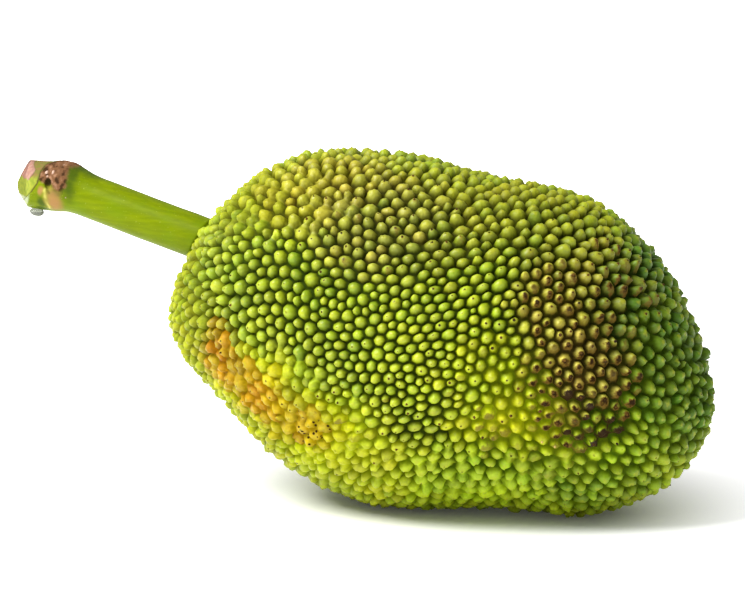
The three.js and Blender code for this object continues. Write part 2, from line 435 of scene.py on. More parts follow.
# The regions of the rind by what they change. The shown side has negative Y.
PATCHES: dict[Trait, tuple[Patch, ...]] = {
    Trait.YELLOW: (
        Patch((-36, -92, 86), (50, 50, 26), 0.9, 0.9),
        Patch((4, -100, 62), (46, 50, 28), 0.9),
        Patch((36, -90, 34), (56, 50, 24), 0.9, 0.8),
        Patch((-6, -74, 52), (58, 60, 34), 0.9, 0.9),
        Patch((140, -94, 66), (38, 40, 28), 1.0),
        Patch((128, -104, 100), (32, 40, 26), 1.0, 0.45),
        Patch((-22, -52, 208), (44, 40, 22), 1.0, 0.5),
        Patch((-70, -70, 90), (30, 60, 60), 1.0, 0.25),
        Patch((20, 92, 60), (56, 50, 32), 0.9, 0.8),
    ),
    Trait.ORANGE: (
        Patch((-60, -84, 98), (20, 40, 21), 0.9),
        Patch((-38, -92, 84), (25, 40, 20), 0.9, 0.85),
        Patch((-12, -100, 70), (26, 40, 18), 0.9, 0.6),
        Patch((9, -100, 61), (17, 40, 13), 0.8, 0.7),
    ),
    # At the left end and along the top edge these paint the surround's light wrapping round the fruit.
    Trait.PALE_AND_EDGE_LIGHT: (
        Patch((-96, -60, 120), (24, 90, 60), 1.0, 0.8),
        Patch((-56, -48, 198), (34, 60, 24), 1.0, 0.7),
        Patch((-44, -40, 50), (34, 60, 22), 1.0, 0.4),
        Patch((-90, 60, 110), (30, 60, 50), 1.0, 0.6),
        Patch((150, -24, 208), (90, 50, 24), 1.0, 0.5),
    ),
    Trait.OLIVE: (
        Patch((4, -52, 212), (56, 60, 26), 1.0, 0.9),
        Patch((66, -64, 196), (60, 60, 34), 1.0, 0.7),
        Patch((130, -50, 204), (50, 60, 22), 1.0, 0.5),
        Patch((60, 60, 200), (70, 60, 30), 1.0, 0.6),
        Patch((186, -60, 160), (46, 50, 44), 1.0, 0.8),
    ),
    Trait.BROWN: (
        Patch((46, -74, 190), (38, 50, 36), 0.9, 0.5),
        Patch((166, -78, 140), (28, 40, 34), 0.9, 0.4),
        Patch((182, -84, 105), (24, 40, 32), 0.9, 0.9),
        Patch((120, 95, 140), (40, 50, 34), 0.9, 0.5),
    ),
    Trait.FRESH: (
        Patch((150, -70, 28), (92, 60, 28), 1.0, 0.9),
        Patch((206, -60, 60), (36, 50, 34), 1.0, 0.9),
        Patch((140, 70, 30), (110, 60, 34), 1.0, 0.6),
    ),
    # Along the right end and the top edges these paint shade on the side away from the light.
    Trait.DEEP_GREEN_AND_SHADE: (
        Patch((238, -20, 102), (44, 90, 62), 1.0, 0.95),
        Patch((218, -44, 152), (36, 60, 52), 1.0, 0.85),
        Patch((56, -80, 186), (50, 50, 44), 1.0, 0.5),
        Patch((140, -56, 192), (60, 50, 34), 1.0, 0.35),
        Patch((-56, -76, 150), (50, 50, 54), 1.0, 0.35),
        Patch((6, -90, 152), (34, 60, 30), 1.0, 0.35),
        Patch((24, -100, 100), (36, 40, 28), 1.0, 0.3),
        Patch((186, -60, 24), (46, 60, 22), 1.0, 0.55),
        Patch((204, 26, 158), (52, 56, 46), 1.0, 0.95),
        Patch((64, 36, 212), (150, 44, 24), 1.0, 0.35),
    ),
    Trait.SCARRED: (
        Patch((170, -78, 146), (32, 40, 42), 0.8, 0.85),
        Patch((180, -84, 95), (36, 40, 46), 0.6),
        Patch((150, -90, 62), (42, 40, 28), 0.8, 0.5),
        Patch((56, -80, 190), (60, 50, 40), 1.0, 0.35),
        Patch((126, -104, 104), (36, 40, 44), 1.0, 0.3),
        Patch((48, -100, 80), (40, 40, 28), 1.0, 0.3),
        Patch((140, 90, 110), (44, 50, 50), 0.8, 0.8),
        Patch((194, -60, 164), (36, 50, 40), 0.8, 0.65),
    ),
    Trait.LESION: (
        Patch((183, -82, 83), (6, 30, 6), 0.6),
        Patch((193, -76, 73), (7, 30, 7), 0.6),
        Patch((176, -80, 67), (5, 30, 5), 0.6),
        Patch((188, -76, 62), (6, 30, 6), 0.6),
        Patch((171, -84, 94), (5, 30, 5), 0.6, 0.8),
    ),
    Trait.SPOTTED: (
        Patch((9, -100, 61), (13, 40, 11), 0.5),
    ),
    Trait.POINTED: (
        Patch((168, -85, 95), (52, 60, 64), 0.9),
        Patch((150, 85, 110), (56, 60, 60), 0.9, 0.9),
    ),
    Trait.PRESSED: (
        Patch((-40, -90, 84), (52, 50, 30), 0.8, 0.9),
        Patch((4, -98, 58), (46, 50, 30), 0.8, 0.9),
        Patch((60, 0, 0), (170, 110, 30), 0.8, 0.7),
        Patch((-102, -50, 112), (26, 60, 56), 0.9, 0.5),
        Patch((200, -60, 32), (60, 70, 24), 0.8, 0.4),
        Patch((142, -94, 60), (34, 40, 18), 0.8, 0.2),
        Patch((238, -20, 100), (36, 90, 80), 0.9, 0.6),
    ),
    Trait.KNOBBLY: (
        Patch((214, -50, 96), (52, 60, 96), 0.8),
        Patch((140, -80, 40), (90, 60, 36), 0.9, 0.8),
        Patch((-30, -90, 74), (70, 60, 44), 0.9, 0.6),
        Patch((214, 50, 96), (60, 60, 96), 0.8, 0.9),
        Patch((60, -80, 196), (150, 60, 34), 0.9, 0.35),
    ),
    Trait.MERGED: (
        Patch((-30, -50, 206), (62, 60, 32), 0.7),
        Patch((-26, -90, 78), (64, 50, 34), 0.7, 0.9),
        Patch((60, -80, 22), (120, 60, 32), 0.7),
        Patch((20, 80, 30), (120, 60, 34), 0.8, 0.9),
        Patch((-40, 50, 200), (50, 60, 32), 0.8, 0.8),
    ),
}


@dataclass(frozen=True)
class RindFinish:
    """The rind's skin.

    Attributes:
        crown: The colour of a tubercle's crown where no patch changes it.
        groove: The dark colour of the groove round it: partly the skin's own darker green, partly painted
            shade in the crease.
        tip: The colour of a fresh tip.
        scar: The colour of a brown cap.
        core: The colour of a dried point, a dot or a spot.
        lesion: The colour of dead skin.
        tints: The colours of the crowns and of the grooves, with their painted shade, in each kind of patch.
        shaded_flank: Over which part of its height a tubercle turns from the groove's painted shade to the
            crown's colour.
        roughness: How rough the grooves and the crowns are.
        sheen: The specular level of dull and of fresh skin.
        tones: How bright the darkest and the lightest tubercle are.
        mottle: How bright the darkest and the lightest specks are.
        hues: The hue of the warmest and the greenest tubercle. At 0.5 it stays as it is.
        shade_side: The side of a tip away from the light, down which a scar creeps, partly as painted shade.
        fresh_edge: From which to which distance off the tip the fresh colour sets in.
        cap_edge: The same for a brown cap.
        point_edge: The same for the dried point in it.
        dead_edge: The same for dead skin.
        dot_edge: The same for a dark dot.
        spot_edge: The same for the dark spots, off their own middles.
        spots: How many such spots there are in a metre.
    """

    crown: Colour = shade(156, 172, 20)
    groove: Colour = shade(46, 58, 0)
    tip: Colour = shade(178, 176, 34)
    scar: Colour = shade(104, 78, 30)
    core: Colour = shade(42, 26, 4)
    lesion: Colour = shade(48, 33, 16)
    tints: tuple[tuple[Trait, Colour, Colour], ...] = (
        (Trait.YELLOW, shade(186, 192, 2), shade(118, 130, 0)),
        # Paler skin, with painted light at the left end and the top edge.
        (Trait.PALE_AND_EDGE_LIGHT, shade(144, 150, 30), shade(84, 88, 8)),
        (Trait.OLIVE, shade(162, 154, 34), shade(62, 54, 0)),
        (Trait.ORANGE, shade(172, 127, 0), shade(118, 80, 0)),
        (Trait.BROWN, shade(206, 188, 78), shade(58, 44, 8)),
        (Trait.FRESH, shade(164, 192, 12), shade(66, 90, 0)),
        # Darker green, with painted shade along the right end and the top edges.
        (Trait.DEEP_GREEN_AND_SHADE, shade(78, 112, 8), shade(28, 46, 0)),
    )
    shaded_flank: Range = (0.19, 0.84)
    roughness: Range = (0.7, 0.38)
    sheen: Range = (0.04, 0.42)
    tones: Range = (0.82, 1.14)
    mottle: Range = (0.66, 1.34)
    hues: Range = (0.488, 0.51)
    shade_side: Point = (0.5, 0.0, -0.86)
    fresh_edge: Range = (0.55, 0.2)
    cap_edge: Range = (0.88, 0.46)
    point_edge: Range = (0.54, 0.22)
    dead_edge: Range = (0.95, 0.6)
    dot_edge: Range = (0.16, 0.06)
    spot_edge: Range = (0.3, 0.2)
    spots: float = 270.0

    def build(self) -> bpy.types.Material:
        """Builds the material.

        Returns:
            The rind's material.
        """
        material, graph, skin = new_material("rind_skin")
        rise, place = graph.attribute("rise"), graph.place()
        pressed, knobbly = graph.attribute(Trait.PRESSED), graph.attribute(Trait.KNOBBLY)
        crown, groove = self.crown, self.groove
        for trait, high, low in self.tints:
            cover = graph.attribute(trait)
            crown = graph.tint(cover, crown, high)
            groove = graph.tint(cover, groove, low)
        # Painted shade in the creases: pressed grooves get less of it, knobbly grooves more, and the flank
        # fades it into the crown.
        groove = graph.tint(graph.times(pressed, 0.45), groove, crown)
        shadier_groove = graph.tint(1.0, groove, groove, "MULTIPLY")
        groove = graph.tint(graph.times(knobbly, 0.25), groove, shadier_groove)
        colour = graph.tint(graph.ease(rise, *self.shaded_flank), groove, crown)
        colour, dry = self._mark(graph, self._vary(graph, colour, place), place)
        dull = graph.most(dry, graph.most(graph.attribute(Trait.PALE_AND_EDGE_LIGHT), graph.times(pressed, 0.55)))
        shine = graph.times(graph.ease(rise, 0.3, 0.9), graph.math("SUBTRACT", 1.0, dull))
        looks = {
            "Base Color": colour,
            "Roughness": graph.blend(rise, *self.roughness),
            "Specular IOR Level": graph.blend(shine, *self.sheen),
            "Subsurface Weight": 0.06,
            "Subsurface Radius": (1.0, 0.7, 0.15),
            "Subsurface Scale": 2.5 * MM,
            "Normal": graph.bumps(graph.noise(480, 4, place), 0.7, 0.9 * MM),
        }
        graph.fill(skin, looks)
        return material

    def _vary(self, graph: Graph, colour: object, place: object) -> bpy.types.NodeSocket:
        """Makes each tubercle a little lighter or darker than the next, with a fine mottle.

        Args:
            graph: The material's graph.
            colour: The colour so far.
            place: The place in the part's frame.

        Returns:
            The varied colour.
        """
        tone, specks = graph.attribute("tone"), graph.noise(340, 4, place)
        value = graph.times(graph.blend(tone, *self.tones), graph.blend(specks, *self.mottle))
        hue = graph.blend(graph.math("FRACT", graph.times(tone, 7.3)), *self.hues)
        inputs = {"Hue": hue, "Value": value, "Color": colour}
        return graph.add("ShaderNodeHueSaturation", inputs).outputs[0]

    def _mark(self, graph: Graph, colour: object, place: object) -> tuple:
        """Adds fresh tips, the brown caps of scarred tubercles, dead skin, and dark dots and spots.

        Args:
            graph: The material's graph.
            colour: The colour so far.
            place: The place in the part's frame.

        Returns:
            The marked colour, and how dry the skin is from 0 to 1.
        """
        # Caps, their dried points and dead skin reach further down the side of a tip away from the light:
        # partly the scars' brown, partly painted shade.
        facing = graph.add("ShaderNodeNewGeometry").outputs["Normal"]
        downward = graph.math("SUBTRACT", graph.dot(facing, self.shade_side), 0.12)
        off_tip = graph.math("SUBTRACT", graph.attribute("ring"), 0.45)
        off_tip = graph.math("MULTIPLY_ADD", graph.noise(520, 3, place), 0.9, off_tip)
        off_scar = graph.math("MULTIPLY_ADD", downward, -0.5, off_tip)

        fresh = graph.times(graph.ease(off_tip, *self.fresh_edge), 0.35)
        own = graph.times(graph.math("FRACT", graph.times(graph.attribute("tone"), 13.7)), 0.6)
        scarred = graph.ease(graph.math("ADD", graph.attribute(Trait.SCARRED), own), 0.55, 1.35)
        cap = graph.times(graph.ease(off_scar, *self.cap_edge), scarred)
        point = graph.times(graph.ease(off_scar, *self.point_edge), graph.ease(scarred, 0.5, 1.0))
        hurt = graph.ease(graph.attribute(Trait.LESION), 0.1, 0.5)
        dead = graph.times(graph.ease(off_scar, *self.dead_edge), hurt)
        dot = graph.times(graph.ease(off_tip, *self.dot_edge), graph.attribute("dot"))
        speckle = {"Vector": place, "Scale": self.spots}
        cells = graph.add("ShaderNodeTexVoronoi", speckle).outputs["Distance"]
        spots = graph.times(graph.ease(cells, *self.spot_edge), graph.attribute(Trait.SPOTTED))
        marks = (
            (fresh, self.tip),
            (cap, self.scar),
            (point, self.core),
            (dead, self.lesion),
            (dot, self.core),
            (spots, self.core),
        )
        for share, paint in marks:
            colour = graph.tint(share, colour, paint)
        return colour, graph.most(graph.most(cap, dot), spots)


@dataclass
class Rind:
    """The fruit's knobbly skin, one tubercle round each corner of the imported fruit.

    Attributes:
        crown_size: How wide a tubercle's crown is as a share of its cell.
        point_size: The same for a pointed tubercle.
        crown_shoulder: How high the edge of its crown is as a share of its height.
        point_shoulder: The same for a pointed tubercle.
        crown_fall: How suddenly its side falls to the groove. At 1 it falls evenly.
        point_fall: The same for a pointed tubercle.
        depth: The depth of the grooves as a share of a cell's radius.
        pressed_depth: How deep the grooves of pressed tubercles are as a share of the others'.
        uneven: How much lower the lowest tubercles are, as a share of a cell's radius.
        saddle: How high merged tubercles are where they meet, as a share of their height.
        bond_gain: What makes up for a bond being shared out over the edges of a tubercle's side.
        wrinkles: How deep the skin is wrinkled on even tubercles and on lumpy ones, in metres.
        lift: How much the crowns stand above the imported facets, in metres.
        lean: How far a crown stands off its middle, in metres, as a standard deviation.
        lumpy_lean: How much more the knobbly ones lean, as a share of that.
        lowest: The least X, Y and Z of the skin, in metres. It lies on the floor.
        axis: The fruit's long axis.
        merging: The chance that neighbours merge where the rind merges most.
        across: How far along the axis a neighbour may lie, at most and with that chance, from 0 to 1.
        bends: How many bends the edges of the patches make in a metre.
        wander: How far those edges wander, in millimetres.
        jitter: How much a tubercle on such an edge may differ from its neighbours.
        dotted: The share of the tubercles that have a dark dot.
        dried: The share of dried tips on sound skin, and how much a scar adds to it.
        clearance: How far above the floor the lowest dried tips are, in metres.
        seed: The seed of all that is random.
        finish: What the skin looks like.
    """

    crown_size: float = 0.5
    point_size: float = 0.4
    crown_shoulder: float = 0.82
    point_shoulder: float = 0.7
    crown_fall: float = 1.5
    point_fall: float = 1.4
    depth: float = 1.5
    pressed_depth: float = 0.5
    uneven: float = 0.22
    saddle: float = 0.72
    bond_gain: float = 3.6
    wrinkles: Range = (1.6 * MM, 7.5 * MM)
    lift: float = 0.2 * MM
    lean: float = 0.45 * MM
    lumpy_lean: float = 0.9
    lowest: Point = (-9.0, -9.0, 0.0)
    axis: Point = (0.966, 0.0, -0.259)
    merging: float = 0.8
    across: Range = (0.42, 0.16)
    bends: float = 28.0
    wander: float = 9.0
    jitter: float = 0.18
    dotted: float = 0.34
    dried: Range = (0.02, 0.7)
    clearance: float = 14 * MM
    seed: int = 11
    finish: RindFinish = field(default_factory=RindFinish)

    def net(self) -> bpy.types.Mesh:
        """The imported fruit's net of tips, carrying what each tubercle is like.

        Returns:
            The net.
        """
        mesh = merged_copy("fruit")
        places = read_rows(mesh.vertices, "co", 3)
        ends = read_rows(mesh.edges, "vertices", 2, np.int32)
        count, edges = len(places), len(ends)
        rng = np.random.default_rng(self.seed)

        spans = places[ends[:, 1]] - places[ends[:, 0]]
        lengths = np.linalg.norm(spans, axis=1)
        reach = np.bincount(ends.ravel(), np.repeat(lengths, 2)) / np.bincount(ends.ravel()) / 2
        carry(mesh, "reach", reach)
        carry(mesh, "tone", rng.random(count))
        carry(mesh, "height", rng.random(count))
        carry(mesh, "dot", (rng.random(count) < self.dotted) * rng.uniform(0.4, 1, count))
        chances = rng.random(count)
        lean = rng.normal(0, self.lean, (count, 3))

        warp = wander(places, self.bends, self.seed) * self.wander * MM
        cover = {trait: cover_of(PATCHES[trait], places + warp) for trait in Trait}
        for trait, values in cover.items():
            on_edge = (values > 0.02) * (values < 0.98)
            shift = rng.uniform(-self.jitter, self.jitter, count) * on_edge
            carry(mesh, trait, np.clip(values + shift, 0, 1))

        carry(mesh, "lean", lean * (1 + self.lumpy_lean * cover[Trait.KNOBBLY][:, None]))
        sound, scarred = self.dried
        dried = (chances < scarred * cover[Trait.SCARRED] + sound) * (places[:, 2] > self.clearance)
        carry(mesh, "stub", dried * rng.uniform(0.6, 1.2, count))

        along = np.abs(spans @ np.array(self.axis)) / lengths
        chance = self.merging * cover[Trait.MERGED][ends].mean(axis=1) * smooth_step(*self.across, along)
        carry(mesh, "bond", (rng.random(edges) < chance) * rng.uniform(0.5, 1, edges), "EDGE")
        LOG.info("net of %d tips, mean reach %.1f mm, %d edges", count, reach.mean() / MM, edges)
        return mesh

    def tree(self) -> bpy.types.NodeTree:
        """The geometry tree that grows a tubercle in every cell of the net.

        Returns:
            The tree.
        """
        graph, sizes = new_geometry_tree(
            "grow_tubercles",
            {
                "Crown size": ("NodeSocketFloat", self.crown_size),
                "Point size": ("NodeSocketFloat", self.point_size),
                "Groove depth": ("NodeSocketFloat", self.depth),
                "Lift": ("NodeSocketFloat", self.lift),
                "Skin": ("NodeSocketMaterial", None),
            },
        )
        cells = graph.add("GeometryNodeDualMesh", {0: sizes.outputs["Geometry"]}).outputs[0]
        cells = self._store(graph, cells, "crease", 1.0, "POINT")
        raised = graph.add(
            "GeometryNodeExtrudeMesh", {"Mesh": cells, "Individual": True, "Offset Scale": 0.0}, mode="FACES"
        )
        top = raised.outputs["Top"]
        shape = self._store(graph, raised.outputs["Mesh"], "crease", 0.0, "POINT", top)
        shape = self._store(graph, shape, "crown", 1.0, "FACE", top)
        bond = graph.math("MULTIPLY", graph.carried("bond"), self.bond_gain, clamp=True)
        shape = self._store(graph, shape, "ridge", bond, "FACE")
        pointed = graph.carried(Trait.POINTED)
        narrow = graph.blend(pointed, sizes.outputs["Crown size"], sizes.outputs["Point size"])
        shape = graph.add("GeometryNodeScaleElements", {"Geometry": shape, "Selection": top, "Scale": narrow})
        shape = graph.add("GeometryNodeSubdivisionSurface", {"Mesh": shape.outputs[0], "Level": 1}).outputs[0]

        crease = graph.carried("crease")
        centre = graph.math("GREATER_THAN", graph.carried("crown"), 0.9)
        fall = graph.math("POWER", crease, graph.blend(pointed, self.crown_fall, self.point_fall))
        side = graph.blend(fall, graph.blend(pointed, self.crown_shoulder, self.point_shoulder), 0.0)
        rise = graph.most(graph.most(side, centre), graph.times(graph.carried("ridge"), self.saddle))
        ring = graph.times(graph.math("SUBTRACT", 1.0, centre), graph.blend(crease, 0.62, 1.0))
        shape = self._store(graph, shape, "rise", rise, "POINT")
        shape = self._store(graph, shape, "ring", ring, "POINT")

        depth = graph.times(graph.carried("reach"), sizes.outputs["Groove depth"])
        pressed = graph.carried(Trait.PRESSED)
        depth = graph.times(depth, graph.blend(pressed, 1.0, self.pressed_depth))
        sunk = graph.times(depth, graph.math("SUBTRACT", 1.0, graph.carried("rise")))
        short = graph.times(graph.carried("reach"), graph.blend(graph.carried("height"), self.uneven, 0.0))
        short = graph.times(short, graph.carried("rise"))
        lumpy = graph.most(pressed, graph.carried(Trait.KNOBBLY))
        wrinkle = graph.math("SUBTRACT", graph.noise(300, 2), 0.5)
        wrinkle = graph.times(wrinkle, graph.blend(lumpy, *self.wrinkles))
        up = graph.math("SUBTRACT", sizes.outputs["Lift"], graph.math("ADD", sunk, short))
        up = graph.math("ADD", up, graph.times(wrinkle, graph.blend(centre, 1.0, lumpy)))
        outward = graph.scaled(graph.add("GeometryNodeInputNormal").outputs[0], up)
        sideways = graph.scaled(graph.carried("lean", "FLOAT_VECTOR"), graph.math("SUBTRACT", 1.0, crease))
        place = graph.vector_math("ADD", graph.add("GeometryNodeInputPosition").outputs[0], outward)
        place = graph.vector_math("ADD", place, sideways)
        place = graph.vector_math("MAXIMUM", place, self.lowest)
        shape = graph.add("GeometryNodeSetPosition", {"Geometry": shape, "Position": place}).outputs[0]
        shape = graph.add("GeometryNodeSetShadeSmooth", {"Geometry": shape}).outputs[0]
        shape = graph.add("GeometryNodeRealizeInstances", {"Geometry": shape}).outputs[0]
        shape = graph.add("GeometryNodeSetMaterial", {"Geometry": shape, "Material": sizes.outputs["Skin"]})
        graph.add("NodeGroupOutput", {0: shape.outputs[0]})
        return graph.tree

    @staticmethod
    def _store(
        graph: Graph, geometry: object, name: str, value: object, domain: str, selection: object = True
    ) -> bpy.types.NodeSocket:
        """Stores a number on part of a geometry.

        Args:
            graph: The tree's graph.
            geometry: The geometry so far.
            name: The name that the number gets.
            value: The number.
            domain: POINT, EDGE or FACE.
            selection: Which elements get it.

        Returns:
            The geometry with the number.
        """
        inputs = {"Geometry": geometry, "Selection": selection, "Name": name, "Value": value}
        node = graph.add("GeometryNodeStoreNamedAttribute", inputs, data_type="FLOAT", domain=domain)
        return node.outputs[0]

    def build(self) -> bpy.types.Object:
        """Grows the rind and dresses it.

        Returns:
            The rind.
        """
        piece = add_object("rind", self.net())
        bake_tree(piece, self.tree(), {"Skin": self.finish.build()})
        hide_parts("fruit")
        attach(piece, BODY)
        return piece


@dataclass
class StigmaTips:
    """The dried, dark remains of the flowers' stigmas on the tips of the scarred tubercles.

    Attributes:
        rind: The rind that they stand on.
        width: The radius of the foot of a stub, in metres.
        height: How tall a stub is, in metres.
        taper: How wide its top is as a share of its foot.
        sunk: How much of its height is in the rind.
        colours: The darkest and the lightest brown of the stubs.
        torn: The colour of the torn, corky ones.
        torn_place: Where those are, in metres.
    """

    rind: Rind
    width: float = 0.95 * MM
    height: float = 1.5 * MM
    taper: float = 0.35
    sunk: float = 0.62
    colours: tuple[Colour, Colour] = (shade(40, 26, 10), shade(96, 66, 22))
    torn: Colour = shade(206, 176, 104)
    torn_place: Point = (159 * MM, -86 * MM, 55 * MM)

    def dress(self) -> bpy.types.Material:
        """Builds the dry, dark brown material, which is pale where the skin is torn.

        Returns:
            The stubs' material.
        """
        material, graph, skin = new_material("dried_stigma")
        place = graph.place()
        colour = graph.tint(graph.ease(graph.noise(160, 2, place), 0.35, 0.65), *self.colours)
        away = graph.length(graph.vector_math("SUBTRACT", place, self.torn_place))
        colour = graph.tint(graph.ease(away, 11 * MM, 8 * MM), colour, self.torn)
        graph.fill(skin, {"Base Color": colour, "Roughness": 0.8, "Specular IOR Level": 0.15})
        return material

    def tree(self) -> bpy.types.NodeTree:
        """The geometry tree that sets a stub on each dried tip.

        Returns:
            The tree.
        """
        graph, sizes = new_geometry_tree(
            "set_stigma_tips",
            {
                "Foot": ("NodeSocketFloat", self.width),
                "Height": ("NodeSocketFloat", self.height),
                "Lift": ("NodeSocketFloat", self.rind.lift),
                "Skin": ("NodeSocketMaterial", None),
            },
        )
        cells = graph.add("GeometryNodeDualMesh", {0: sizes.outputs["Geometry"]}).outputs[0]
        facing = graph.add("GeometryNodeInputNormal").outputs[0]
        short = graph.blend(graph.carried("height"), self.rind.uneven, 0.0)
        up = graph.times(graph.carried("reach"), short)
        up = graph.math("SUBTRACT", sizes.outputs["Lift"], up)
        middle = graph.add("GeometryNodeInputPosition").outputs[0]
        place = graph.vector_math("ADD", middle, graph.scaled(facing, up))
        place = graph.vector_math("ADD", place, graph.carried("lean", "FLOAT_VECTOR"))
        turn = graph.add("FunctionNodeAlignRotationToVector", {"Vector": facing}, axis="Z").outputs[0]
        cells = graph.add(
            "GeometryNodeStoreNamedAttribute",
            {"Geometry": cells, "Name": "turn", "Value": turn},
            data_type="QUATERNION",
            domain="FACE",
        ).outputs[0]
        chosen = graph.math("GREATER_THAN", graph.carried("stub"), 0.3)
        on_faces = {"Mesh": cells, "Selection": chosen, "Position": place}
        points = graph.add("GeometryNodeMeshToPoints", on_faces, mode="FACES").outputs[0]
        cone = {
            "Vertices": 7,
            "Side Segments": 2,
            "Radius Top": graph.times(sizes.outputs["Foot"], self.taper),
            "Radius Bottom": sizes.outputs["Foot"],
            "Depth": sizes.outputs["Height"],
        }
        stub = graph.add("GeometryNodeMeshCone", cone).outputs[0]
        down = graph.times(sizes.outputs["Height"], -self.sunk)
        down = graph.add("ShaderNodeCombineXYZ", {2: down}).outputs[0]
        stub = graph.add("GeometryNodeTransform", {"Geometry": stub, "Translation": down}).outputs[0]
        spread = {
            "Points": points,
            "Instance": stub,
            "Rotation": graph.carried("turn", "QUATERNION"),
            "Scale": graph.carried("stub"),
        }
        stubs = graph.add("GeometryNodeInstanceOnPoints", spread).outputs[0]
        shape = graph.add("GeometryNodeRealizeInstances", {"Geometry": stubs}).outputs[0]
        shape = graph.add("GeometryNodeSetMaterial", {"Geometry": shape, "Material": sizes.outputs["Skin"]})
        graph.add("NodeGroupOutput", {0: shape.outputs[0]})
        return graph.tree

    def build(self) -> bpy.types.Object:
        """Sets the stubs on the rind.

        Returns:
            The stubs as one object.
        """
        piece = add_object("stigma_tips", self.rind.net())
        bake_tree(piece, self.tree(), {"Skin": self.dress()})
        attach(piece, BODY)
        return piece


# ---- The stalk ----


@dataclass(frozen=True)
class Crack:
    """A thin line on the stalk, from one point to the next.

    Attributes:
        points: The points that it follows, in millimetres in the part's frame.
        width: Its half width in millimetres.
    """

    points: tuple[Point, ...]
    width: float

    def cover(self, places: np.ndarray) -> np.ndarray:
        """How much the line covers each place.

        Args:
            places: The places, in metres.

        Returns:
            A number from 0 to 1 for each place.
        """
        nearest = np.full(len(places), np.inf)
        for start, end in zip(self.points, self.points[1:]):
            origin, span = np.array(start), np.array(end) - np.array(start)
            offsets = places / MM - origin
            share = np.clip(offsets @ span / (span @ span), 0, 1)
            nearest = np.minimum(nearest, np.linalg.norm(offsets - share[:, None] * span, axis=1))
        return np.exp(-((nearest / self.width) ** 2))


@dataclass(frozen=True)
class Border:
    """A line round the stalk, seen from the side: its place along X at each height.

    Attributes:
        heights: Heights in millimetres, from low to high.
        places: The border's X at each height, in millimetres.
    """

    heights: tuple[float, ...]
    places: tuple[float, ...]

    def beyond(self, places: np.ndarray, blur: float = 0.4) -> np.ndarray:
        """From 0 on the fruit's side of the border to 1 on the cut end's side."""
        border = np.interp(places[:, 2] / MM, self.heights, self.places)
        return smooth_step(blur, -blur, places[:, 0] / MM - border)

    def near(self, places: np.ndarray, width: float) -> np.ndarray:
        """From 0 far from the border to 1 on it, for a half width in millimetres."""
        border = np.interp(places[:, 2] / MM, self.heights, self.places)
        return np.exp(-(((places[:, 0] / MM - border) / width) ** 2))


class StalkMask(Enum):
    """Where the stalk has something of its own, or painted shade. The value is the name that the mesh carries
    it by.
    """

    BARK = "bark"
    CUT = "cut"
    PINK = "pink"
    LENTICEL = "lenticel"
    PIT = "pit"
    RIDGE = "pale_ridge"
    SEAM = "seam"
    TAN = "tan"
    WET = "wet"
    # Painted shade: darker green on the stalk round the knuckle and along its top.
    PAINTED_SHADE = "shade"
    STRIP = "strip"


